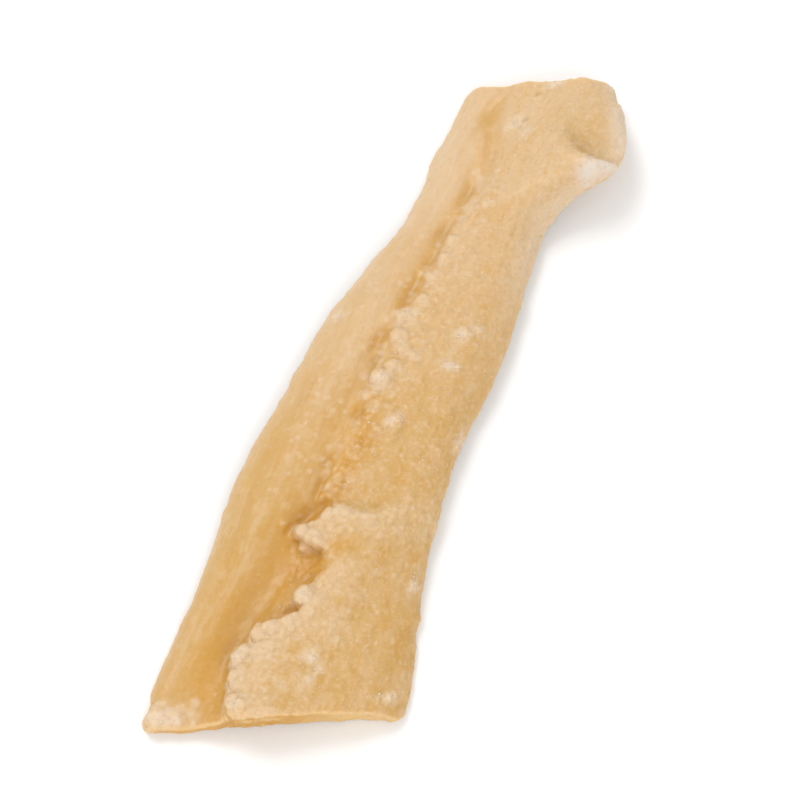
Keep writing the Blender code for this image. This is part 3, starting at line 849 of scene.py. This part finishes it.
@dataclass
class CrumbLayout:
    """Chooses where crumbs lie, how large they are, and how they cluster."""

    plan: StripPlan
    seed: int = 23
    rim_spacing: float = 0.85
    rim_radii: Span = (0.32, 0.66)
    behind_rim: int = 4  # small crumbs behind each one on the rim
    smooth_below: float = 0.35  # lumpiness of a torn edge without crumbs
    bank_count: int = 130
    bank_stations: Span = (0.31, 0.54)  # where it starts, and how far it runs
    salt_count: int = 7  # in each patch
    strewn_count: int = 70
    heap_count: int = 26
    flake_count: int = 60
    clumps: Lumps = (
        (0.339, -3.05, 0.35), (0.352, -2.55, 0.38), (0.362, -3.5, 0.32), (0.4, -3.3, 0.4),
        (0.418, -1.15, 0.42), (0.435, -0.25, 0.6), (0.459, -2.1, 0.45), (0.48, -3.1, 0.45),
        (0.504, -2.45, 0.72), (0.521, -1.9, 0.5), (0.538, -0.9, 0.5), (0.549, -1.7, 0.45),
        (0.567, -2.35, 0.62), (0.572, 2.0, 0.48), (0.579, 2.7, 0.36), (0.603, -2.65, 0.7),
        (0.628, -1.85, 0.4), (0.668, -2.05, 0.42), (0.696, -1.55, 0.45), (0.728, -1.7, 0.38),
        (0.785, -1.55, 0.42), (0.783, -0.2, 0.42),
    )  # the station, x and radius of the larger ones, most of which follow those of the solid
    rim_lumps: Lumps = (
        (0.014, -3.1, 0.5), (0.008, -2.45, 0.4), (0.056, -3.7, 0.45), (0.084, -4.0, 0.8),
        (0.121, -3.3, 0.6), (0.121, -2.55, 0.65), (0.127, -1.4, 0.5), (0.167, -1.4, 0.75),
        (0.267, -3.25, 0.55), (0.259, -2.45, 0.55), (0.29, -1.9, 0.6), (0.284, -0.7, 0.45),
    )  # the same along the torn edge
    tab_lobes: tuple[tuple[float, float, float, float], ...] = (
        (0.259, -2.5, 0.68, 0.9), (0.267, -3.2, 0.62, 0.9), (0.276, -3.8, 0.5, 0.9),
        (0.249, -2.8, 0.6, 1.5), (0.249, -1.95, 0.6, 1.5),
    )  # the same under the torn tab's edge, with how high they are for their radius
    bank_paleness: Line = ((0.3, 0.5), (0.44, 0.5), (0.5, 1.0), (1.0, 1.0))  # by station

    crumbs: list[Crumb] = field(default_factory=list)
    draw: random.Random = field(init=False)

    def __post_init__(self) -> None:
        """Starts the random draws."""
        self.draw = random.Random(self.seed)

    def choose(self) -> list[Crumb]:
        """Lays out all crumbs, group by group.

        Returns:
            The crumbs.
        """
        groups = (self.round_lumps, self.along_rim, self.in_clumps, self.along_bank, self.in_salt)
        for lay_group in (*groups, self.strewn, self.heaped, self.on_tab, self.flaked):
            lay_group()
        return self.crumbs

    def paleness_at(self, station: float) -> float:
        """How pale the crumbs of the bank are at a station."""
        return float(through(self.bank_paleness, np.array([station]))[0])

    def lay(self, at: np.ndarray, radius: float, *form: float) -> None:
        """Lays a crumb, with as many of its flatness, length, turn and paleness as are given."""
        self.crumbs.append(Crumb(*at, radius, *form))

    def lay_small(self, at: np.ndarray, radii: Span, longest: float, form: Span) -> None:
        """Lays a crumb of a drawn size and turn, with its flatness and paleness as its form."""
        radius, turn = self.draw.uniform(*radii), self.draw.uniform(0, math.pi)
        self.lay(at, radius, form[0], self.draw.uniform(1, longest), turn, form[1])

    def lay_beside(self, lump: Triple, count: int, away: Span, sizes: Span, form: Span) -> None:
        """Lays small crumbs beside a large one.

        Args:
            lump: The station, x and radius of the large one.
            count: How many there are.
            away: How far off they lie, as a share of its radius.
            sizes: Their radii, as a share of its radius.
            form: Their flatness and paleness.
        """
        draw, (station, x, radius) = self.draw, lump
        middle = self.plan.place(station, x)
        for _ in range(count):
            turn = draw.uniform(0, math.tau)
            way = np.array((math.cos(turn), math.sin(turn))) * draw.uniform(*away) * radius
            size, length = draw.uniform(*sizes) * radius, draw.uniform(1, 1.5)
            self.lay(middle + way, size, form[0], length, turn, form[1])

    def round_lumps(self) -> None:
        """Crowds crumbs on the lumps of the torn edge."""
        for lump in self.rim_lumps:
            self.lay_beside(lump, 3, (0.2, 0.75), (0.5, 0.8), (0.65, 0.8))

    def along_rim(self) -> None:
        """Lays crumbs along the torn edge, with smaller and flatter ones behind them."""
        draw, corners = self.draw, self.plan.walk()
        for (x, y, lumpy), (*run, _) in zip(corners, np.diff(corners, axis=0)):
            start, run = np.array((x, y)), np.array(run)
            length = float(np.linalg.norm(run))
            inward = np.array((run[1], -run[0])) / length
            count = round(length / self.rim_spacing) if lumpy > self.smooth_below else 0
            for _ in range(count):
                at = start + run * draw.random() + inward * draw.uniform(0.2, 0.6)
                radius = draw.uniform(*self.rim_radii) * (0.4 + 0.6 * lumpy)
                self.lay(at, radius, 0.3 + 0.3 * lumpy, draw.uniform(1, 1.4))
                for _ in range(self.behind_rim):
                    back = inward * draw.uniform(0.1, 4.0)
                    back += run / length * draw.uniform(-0.8, 0.8)
                    self.lay_small(at + back, (0.16, 0.45), 1.9, (0.35, 0.5))

    def in_clumps(self) -> None:
        """Lays a rounded crumb on each large lump of the bank, with small ones against it."""
        for lump in self.clumps:
            station, x, radius = lump
            pale = self.paleness_at(station)
            self.lay(self.plan.place(station, x), radius * 1.08, 0.75, 1.0, 0.0, pale)
            self.lay_beside(lump, 4, (0.7, 1.3), (0.4, 0.75), (0.6, pale))

    def along_bank(self) -> None:
        """Lays small crumbs in the furrow and along its right bank."""
        draw, (first, run) = self.draw, self.bank_stations
        for k in range(self.bank_count):
            station = first + run * (k + draw.random()) / self.bank_count
            x = self.plan.bottom(station) + draw.gauss(0.15, 0.5) + abs(draw.gauss(0, 1.0))
            radius, turn = draw.uniform(0.14, 0.36), draw.uniform(0, math.pi)
            length, pale = draw.uniform(1, 1.8), draw.uniform(0.3, 1) * self.paleness_at(station)
            self.lay(self.plan.place(station, x), radius, 0.4, length, turn, pale)

    def in_salt(self) -> None:
        """Lays soft white crumbs of salt in their patches."""
        for spot in self.plan.salt:
            for _ in range(self.salt_count):
                away, off = self.draw.gauss(0, 0.4) * spot.along, self.draw.gauss(0, 0.4)
                station = spot.station + away / self.plan.core_length
                at = self.plan.place(station, spot.x + off * spot.across)
                self.lay(at, self.draw.uniform(0.12, 0.26), 0.6)

    def strewn(self) -> None:
        """Lays few and fine crumbs all over."""
        for _ in range(self.strewn_count):
            station, x = self.draw.uniform(0.02, 0.97), self.draw.triangular(-9, 5.5, 2)
            self.lay_small(self.plan.place(station, x), (0.08, 0.24), 2.5, (0.3, 0.6))

    def heaped(self) -> None:
        """Lays a crushed heap at the left corner of the broad cut."""
        for _ in range(self.heap_count):
            station, x = self.draw.uniform(0.0, 0.03), self.draw.uniform(-9.0, -5.8)
            self.lay_small(self.plan.place(station, x), (0.2, 0.45), 2, (0.45, 1.0))

    def on_tab(self) -> None:
        """Lays rounded lobes under the edge of the torn tab."""
        for station, x, radius, height in self.tab_lobes:
            turn = self.draw.uniform(0, math.pi)
            self.lay(self.plan.place(station, x), radius, height, 1.15, turn, 0.9)

    def flaked(self) -> None:
        """Lays small flat flakes along the flesh left of the furrow."""
        draw = self.draw
        for _ in range(self.flake_count):
            station = draw.uniform(0.33, 0.68)
            at = self.plan.place(station, self.plan.bottom(station) - draw.uniform(0.4, 3.6))
            radius, turn = draw.uniform(0.13, 0.24), draw.gauss(0, 0.35)
            self.lay(at, radius, 0.35, draw.uniform(1.6, 3.2), turn, draw.uniform(0.4, 1))


@dataclass
class FishStrip:
    """The strip itself: one fine skin over its flesh, crumbs and torn crust."""

    plan: StripPlan
    finish: FishFinish
    crumbs: list[Crumb]
    seed: int = 5
    base_voxel: float = 0.2
    voxel: float = 0.156
    weld: float = 0.001
    sink: float = 0.4  # of a crumb's radius
    level: float = 0.3  # how far up the flesh has to face under a crumb
    unevenness: float = 0.35  # of a crumb, as a share of its radius
    gap_depth: float = 0.12  # of the deepest gaps between crumbs
    dome_sizes: Triple = (1.5, 0.9, 0.55)  # coarse, middling and fine
    warp: Span = (0.25, 1.1)  # how far the domes are warped, in lumps of a size
    rim_domes: Span = (0.22, 0.12)  # coarse and fine
    bank_domes: Span = (0.12, 0.07)  # middling and fine
    crust_domes: float = 0.07
    plateau: float = 0.06  # which fills the dip behind the rim
    plateau_in: Span = (0.9, 1.9)  # how far from the torn edge it rises
    plateau_out: Span = (7, 2.5)  # and falls
    furrow_fill: float = 0.2
    furrow_width: float = 0.9
    pit_depth: float = 0.14
    crease_depth: float = 0.3
    crease_width: float = 0.5
    crease_fill: float = 0.22  # where it starts
    fold_relief: float = 0.3
    fibre_relief: float = 0.04
    grain_relief: float = 0.03
    edge_relief: float = 0.16
    border_relief: float = 0.1
    border: Span = (0.8, 0.45)  # how far the left border's ridge lies inside, and its width
    shown_from: Span = (-0.1, 0.3)  # how far up the relief's side of the skin looks
    base_smoothing: int = 6  # rounds of smoothing of the bare flesh
    smoothing: int = 4  # the same with its crumbs
    settling: int = 24  # and where facets are left
    closing: int = 6  # rounds that find gaps between crumbs
    wide: int = 12  # the same for hollows
    narrow: int = 3  # and for crests

    def build(self, solid: Thing) -> Thing:
        """Makes the whole strip.

        Args:
            solid: The solid that it replaces.

        Returns:
            The finished piece.
        """
        strip = self.copy_flesh(solid)
        self.fuse(strip, self.lay_crumbs(ground_of(strip.data)))
        self.carve(strip.data)
        self.paint_zones(strip.data)
        strip.data.materials.clear()
        strip.data.materials.append(self.finish.make())
        strip.data.shade_smooth()
        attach(strip, BODY)
        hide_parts(SOLID)
        return strip

    def copy_flesh(self, solid: Thing) -> Thing:
        """Copies the solid and smooths its facets.

        Args:
            solid: The solid of the frame.

        Returns:
            A merged and smoothed copy with its own mesh.
        """
        deselect_all()
        strip = link("salted_fish_strip", solid.data.copy())
        choose(strip)
        bpy.ops.object.mode_set(mode="EDIT")
        bpy.ops.mesh.select_all(action="SELECT")
        bpy.ops.mesh.remove_doubles(threshold=self.weld * MM)
        bpy.ops.object.mode_set(mode="OBJECT")
        apply_modifier(strip, "REMESH", mode="VOXEL", voxel_size=self.base_voxel * MM)
        apply_modifier(strip, "SMOOTH", factor=0.5, iterations=self.base_smoothing)
        self.settle(strip.data)
        return strip

    def settle(self, mesh: Mesh) -> None:
        """Smooths what is left of the facets on the left fillet, in the furrow and in its trough.

        Args:
            mesh: The strip's mesh.
        """
        skin = Skin(mesh, self.plan)
        inside = np.minimum.reduce((skin.from_cut, skin.from_left, skin.from_right))
        off_edge = np.maximum(ease(0.4, 1.1, skin.from_torn), skin.within(self.plan.notch))
        right_bank = ease(0.3, 0.9, skin.from_furrow) * ease(0.3, 0.34, skin.station)
        share = ease(0.8, 2.0, inside) * ease(*self.shown_from, skin.up)
        share *= off_edge * (1 - right_bank)
        skin.move(skin.points + (skin.smoothed(self.settling) - skin.points) * share[:, None])

    def lay_crumbs(self, ground: BVHTree) -> list[Thing]:
        """Lays the crumbs on the smoothed flesh.

        Args:
            ground: The flesh.

        Returns:
            The crumbs that have the strip under them, each with its own mesh.
        """
        pattern, draw, laid = add_ball(), random.Random(self.seed), []
        for crumb in self.crumbs:
            stretch = math.sqrt(crumb.length * draw.uniform(0.85, 1.2))
            shift = Vector(draw.uniform(-50, 50) for _ in range(3))
            found = drop(ground, crumb.x, crumb.y, self.level)
            if found is None:
                continue
            hit, normal = found
            thing = link("crumb", pattern.data.copy())
            for vertex in thing.data.vertices:
                vertex.co *= 1 + self.unevenness * noise.noise(vertex.co * 1.3 + shift)
            radius = crumb.radius * MM
            size = (radius * stretch, radius / stretch, radius * crumb.flatness, 1)
            turn = normal.to_track_quat("Z", "Y").to_matrix().to_4x4()
            turn = turn @ Matrix.Rotation(crumb.turn, 4, "Z")
            lift = Matrix.Translation(hit - normal * radius * self.sink)
            thing.data.transform(lift @ turn @ Matrix.Diagonal(size))
            laid.append(thing)
        bpy.data.objects.remove(pattern)
        return laid

    def fuse(self, strip: Thing, crumbs: list[Thing]) -> None:
        """Joins the crumbs to the strip and draws one fine skin round everything.

        Args:
            strip: The strip.
            crumbs: The crumbs, which become part of it.
        """
        choose(strip)
        for crumb in crumbs:
            crumb.select_set(True)
        bpy.ops.object.join()
        apply_modifier(strip, "REMESH", mode="VOXEL", voxel_size=self.voxel * MM)
        apply_modifier(strip, "SMOOTH", factor=0.5, iterations=self.smoothing)
        self.close_pinholes(strip.data)

    def close_pinholes(self, mesh: Mesh) -> None:
        """Draws the narrow gaps and spikes that the crumbs leave towards the skin around them.

        Args:
            mesh: The strip's mesh.
        """
        skin = Skin(mesh, self.plan)
        away = skin.smoothed(self.closing) - skin.points
        length = np.linalg.norm(away, axis=1, keepdims=True)
        share = np.clip(1 - self.gap_depth / np.maximum(length, self.gap_depth), 0, 1)
        skin.move(skin.points + away * share)

    def carve(self, mesh: Mesh) -> None:
        """Raises the fine relief, and keeps the strip on the floor.

        Args:
            mesh: The strip's mesh.
        """
        skin, reach = Skin(mesh, self.plan), self.plan.rim_reach
        shown = ease(*self.shown_from, skin.up)
        layer = skin.layer() * shown
        rim = layer * ease(reach, 0.35 * reach, skin.from_torn)
        crusted = np.maximum(ease(0.3, 1.6, skin.from_furrow) * shown, rim)
        rise = self.crumble(skin, layer, crusted) + self.fray(skin, shown * (1 - crusted))
        rise += (self.dent(skin, layer) + self.fold(skin)) * shown
        rise *= ease(0.0, 0.3, skin.points[:, 2])
        moved = skin.points + skin.normals * rise[:, None]
        moved[:, 2] = np.maximum(moved[:, 2], 0.0)
        skin.move(moved)

    def crumble(self, skin: Skin, layer: np.ndarray, crusted: np.ndarray) -> np.ndarray:
        """Shapes the grain of the crust and crowded crumbs on it, on the bank and on the rim.

        Args:
            skin: The measured skin.
            layer: How far its points lie on the shown upper layer.
            crusted: How far they are crusted.

        Returns:
            The height of the relief.
        """
        points, from_torn = skin.points, skin.from_torn
        warped = points + self.warp[0] * uneven(points, self.warp[1], 9)[:, None]
        coarse, middle, fine = (domes(warped, *dome) for dome in zip(self.dome_sizes, (1, 3, 2)))
        near_rim = layer * ease(5.5, 1.0, from_torn) * (0.35 + 0.65 * skin.lumpiness)
        near_rim *= 1 - skin.within(self.plan.stain)
        bank = skin.bank() * ease(*self.shown_from, skin.up)
        rise = near_rim * (self.rim_domes[0] * coarse + self.rim_domes[1] * fine)
        rise += bank * (self.bank_domes[0] * middle + self.bank_domes[1] * fine)
        rise += crusted * self.crust_domes * (fine + uneven(points, 0.9, 4))
        rise += (0.4 + 0.6 * crusted) * self.grain_relief * uneven(points, 0.3, 15)
        behind = ease(*self.plateau_in, from_torn) * ease(*self.plateau_out, from_torn)
        return rise + self.plateau * layer * behind

    def dent(self, skin: Skin, layer: np.ndarray) -> np.ndarray:
        """Fills the furrow in patches, and sinks the pits.

        Args:
            skin: The measured skin.
            layer: How far its points lie on the shown upper layer, which stays as it is.

        Returns:
            The height of the relief.
        """
        pits = skin.within(self.plan.pits)
        patchy = np.clip(0.6 + 1.2 * uneven(skin.points, (1.8, 2.6, 1.8), 11), 0, 1.3)
        fill = peak(skin.from_furrow, self.furrow_width) * (1 - 0.7 * pits) * (1 - layer)
        fill *= ease(0.25, 0.33, skin.station)
        return self.furrow_fill * fill * patchy - self.pit_depth * pits

    def fold(self, skin: Skin) -> np.ndarray:
        """Deepens the crease of the curled corner, and crumples the left corner.

        Args:
            skin: The measured skin.

        Returns:
            The height of the relief.
        """
        deep = self.crease_depth * skin.creased - self.crease_fill * (1 - skin.creased)
        deep *= peak(skin.above_crease, self.crease_width) * ease(2, 3, skin.x)
        folds = 0.5 - 1.8 * np.abs(uneven(skin.points, (1.6, 0.8, 1.2), 16))
        return self.fold_relief * skin.within(self.plan.corner) * folds - deep

    def fray(self, skin: Skin, smooth: np.ndarray) -> np.ndarray:
        """Shapes the fibres, the seams, the left border and the ragged edges.

        Args:
            skin: The measured skin.
            smooth: How far its points are shown and without crust.

        Returns:
            The height of the relief.
        """
        points = skin.points
        fibres = uneven(points, (0.45, 3.5, 0.6), 5) * ease(0.8, 2.2, np.abs(skin.from_furrow))
        bumps = uneven(points, 0.9, 6) + 0.6 * uneven(points, 0.4, 13)
        ragged = uneven(points, 1.4, 7) + 0.6 * uneven(points, 0.6, 8)
        inside, width = self.border
        rise = self.fibre_relief * (fibres + bumps - 0.5 * skin.seams())
        rise += self.border_relief * peak(skin.from_left - inside, width) * smooth
        return rise + self.edge_relief * skin.thinness() * ragged

    def crumbliness(self, points: np.ndarray) -> np.ndarray:
        """Finds the crumbs again on the finished skin.

        Args:
            points: Its points.

        Returns:
            How far they lie on a crumb, from 0 to 1, seen from above.
        """
        share = np.zeros(len(points))
        order = np.argsort(points[:, 1])
        sorted_y = points[order, 1]
        for crumb in self.crumbs:
            reach = 1.3 * crumb.radius
            low, high = np.searchsorted(sorted_y, (crumb.y - reach, crumb.y + reach))
            near = order[low:high]
            away = np.hypot(points[near, 0] - crumb.x, points[near, 1] - crumb.y) / crumb.radius
            share[near] = np.maximum(share[near], crumb.paleness * ease(1.3, 0.6, away))
        return share

    def paint_zones(self, mesh: Mesh) -> None:
        """Writes how far each point belongs to each zone.

        Args:
            mesh: The strip's mesh, in its last form.
        """
        plan, skin = self.plan, Skin(mesh, self.plan)
        station, from_right = skin.station, skin.from_right
        shown = ease(-0.15, 0.25, skin.up)
        layer, crumb = skin.layer() * shown, self.crumbliness(skin.points) * shown
        on_crust = np.maximum(layer, ease(0.28, 0.34, station))
        bare, wall = skin.within(plan.stain), skin.wall() * (0.8 - 0.7 * crumb)
        # a painted highlight along the upper right border
        right_highlight = ease(1.8, 0.3, from_right) * ease(0.52, 0.66, station)
        zones = {
            Zone.UPPER: ease(0.25, 0.85, station),
            Zone.LAYER: layer * (1 - wall),
            Zone.CRUST: ease(0.3, 1.8, skin.from_furrow) * on_crust * shown,
            Zone.AMBER: np.maximum(skin.amber() * (1 - layer), 0.75 * bare) * shown,
            Zone.PIT: np.maximum(skin.within(plan.pits) * shown * (1 - crumb), wall),
            Zone.RIM: skin.rim() * shown * (1 - wall) * (1 - bare),
            Zone.CRUMB: crumb * (1 - 0.8 * bare),
            Zone.BORDER: ease(1.5, 0.7, skin.from_left) * shown,
            Zone.PALE: skin.within(plan.salt) * shown,
            Zone.LIP: skin.lip() * shown,
            # painted shade along the right flank, strongest towards the broad cut
            Zone.SHADE: ease(3.6, 0.6, from_right) * ease(0.75, 0.3, station) * shown,
            Zone.CUP: skin.cup() * shown,
            Zone.SHADED_SLIT: skin.shaded_slit(),
            Zone.THIN: np.maximum(skin.thinness(), 0.7 * right_highlight * shown),
            Zone.HOLLOW_SHADE: ease(0.03, 0.14, skin.hollowness(self.wide)),
            Zone.CREST_HIGHLIGHT: ease(0.008, 0.04, -skin.hollowness(self.narrow)),
            Zone.UNDER: ease(-0.1, -0.4, skin.up),
            Zone.SEAM: skin.seams(),
            Zone.CUT: np.abs(skin.normals[:, 1]) * ease(1.6, 0.0, skin.from_cut),
        }
        for zone, share in zones.items():
            attribute = mesh.attributes.new(zone.value, "FLOAT", "POINT")
            attribute.data.foreach_set("value", share.astype(np.float32))


@dataclass
class SaltGrains:
    """Grains of salt that cling to the crust in patches, as one joined mesh."""

    plan: StripPlan
    finish: SaltFinish
    in_each_patch: int = 6
    patch_radii: Span = (0.07, 0.15)
    strewn: int = 110
    strewn_radii: Span = (0.05, 0.1)
    sink: float = 0.1  # of a grain's radius
    level: float = 0.2  # how far up the strip has to face under a grain
    seed: int = 11

    def build(self, strip: Thing) -> Thing:
        """Strews the grains.

        Args:
            strip: The finished strip.

        Returns:
            The finished piece.
        """
        draw, ground = np.random.default_rng(self.seed), ground_of(strip.data)
        ball = add_ball()
        corners = points_of(ball.data)
        sides = np.array([side.vertices[:] for side in ball.data.polygons])
        bpy.data.objects.remove(ball)
        grains, faces = [], []
        for x, y, radius in self.places(draw):
            turn = np.linalg.qr(draw.normal(size=(3, 3)))[0]
            turn[:, 0] *= np.linalg.det(turn)
            shape = corners * draw.uniform(0.88, 1.1, (len(corners), 1)) * draw.uniform(0.6, 1, 3)
            found = drop(ground, x, y, self.level)
            if found is None:
                continue
            hit, normal = found
            faces.append(sides + len(corners) * len(grains))
            middle = np.array(hit - normal * radius * MM * self.sink)
            grains.append(shape @ turn.T * radius * MM + middle)
        made = bpy.data.meshes.new("salt_grains")
        made.from_pydata(np.concatenate(grains).tolist(), [], np.concatenate(faces).tolist())
        made.materials.append(self.finish.make())
        made.shade_smooth()
        piece = link("salt_grains", made)
        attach(piece, BODY)
        return piece

    def places(self, draw: np.random.Generator) -> list[Triple]:
        """Chooses the grains.

        Args:
            draw: The random draws.

        Returns:
            The x, y and radius of each.
        """
        chosen, (low, high) = [], self.patch_radii
        for spot in self.plan.salt:
            for _ in range(self.in_each_patch):
                along, across = draw.normal(0, 0.6, 2)
                station = spot.station + along * spot.along / self.plan.core_length
                at = self.plan.place(station, spot.x + across * spot.across)
                chosen.append((*at, low + (high - low) * draw.random() ** 2))
        for _ in range(self.strewn):
            station = draw.uniform(0.01, 0.95)
            x = self.plan.bottom(station) + 0.6 + abs(draw.normal(0, 3.6))
            chosen.append((*self.plan.place(station, x), draw.uniform(*self.strewn_radii)))
        return chosen


@dataclass
class Studio:
    """A white floor, soft light and a camera as the pile was photographed."""

    elevation: float = 70.0  # degrees above the floor
    azimuth: float = 21.7  # degrees, which leans the strip to the right
    distance: float = 0.228  # metres, as all of the studio
    lens: float = 135.0
    aim: Triple = (0.0, 0.0, 0.002)
    floor: FloorFinish = FloorFinish()
    floor_size: float = 4.0
    sky: float = 0.72
    lamps: tuple[tuple[str, Triple, float, float], ...] = (
        ("key", (-0.35, 0.2, 0.55), 0.35, 2.15),
        ("fill", (0.3, -0.42, 0.4), 0.5, 1.8),
    )  # name, place, length of the sides and watts

    def build(self) -> None:
        """Makes the floor, the lights and the camera."""
        self.lay_floor()
        self.light()
        self.place_camera()

    def lay_floor(self) -> None:
        """Lays a wide floor that the strip rests on."""
        deselect_all()
        bpy.ops.mesh.primitive_plane_add(size=self.floor_size, location=(0, 0, 0))
        ground = bpy.context.object
        ground.name = "studio_floor"
        ground.data.materials.append(self.floor.make())

    def light(self) -> None:
        """Sets a bright even sky and square soft lamps that face the strip."""
        world = bpy.data.worlds.new("studio")
        world.use_nodes = True
        sky = world.node_tree.nodes["Background"]
        sky.inputs["Color"].default_value = (1, 1, 1, 1)
        sky.inputs["Strength"].default_value = self.sky
        bpy.context.scene.world = world
        for name, place, size, watts in self.lamps:
            lamp = bpy.data.lights.new(name, "AREA")
            lamp.size = size
            lamp.energy = watts
            self.aim_from(link(name, lamp), Vector(place), Vector())

    def place_camera(self) -> None:
        """Looks down at the strip from the photograph's angle."""
        turn, rise = math.radians(self.azimuth), math.radians(self.elevation)
        level = math.cos(rise)
        back = Vector((math.sin(turn) * level, -math.cos(turn) * level, math.sin(rise)))
        lens = bpy.data.cameras.new("camera")
        lens.lens = self.lens
        lens.clip_start = 0.01
        camera = link("camera", lens)
        self.aim_from(camera, back * self.distance, Vector(self.aim))
        bpy.context.scene.camera = camera
        bpy.context.scene.view_settings.view_transform = "Standard"

    def aim_from(self, thing: Thing, away: Vector, aim: Vector) -> None:
        """Sets a lamp or camera off from a place, and turns it to face that."""
        thing.location = aim + away
        thing.rotation_mode = "QUATERNION"
        thing.rotation_quaternion = (-away).to_track_quat("-Z", "Y")


def main() -> None:
    """Builds the strip, its salt and the studio, in that order."""
    logging.basicConfig(level=logging.INFO, format="%(name)s: %(message)s")
    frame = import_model()
    plan = StripPlan()
    crumbs = CrumbLayout(plan).choose()
    strip = FishStrip(plan, FishFinish(), crumbs).build(frame["nodes"][SOLID])
    log.info("strip: %d crumbs, %d faces", len(crumbs), len(strip.data.polygons))
    salt = SaltGrains(plan, SaltFinish()).build(strip)
    log.info("salt: %d faces", len(salt.data.polygons))
    Studio().build()


if __name__ == "__main__":
    main()
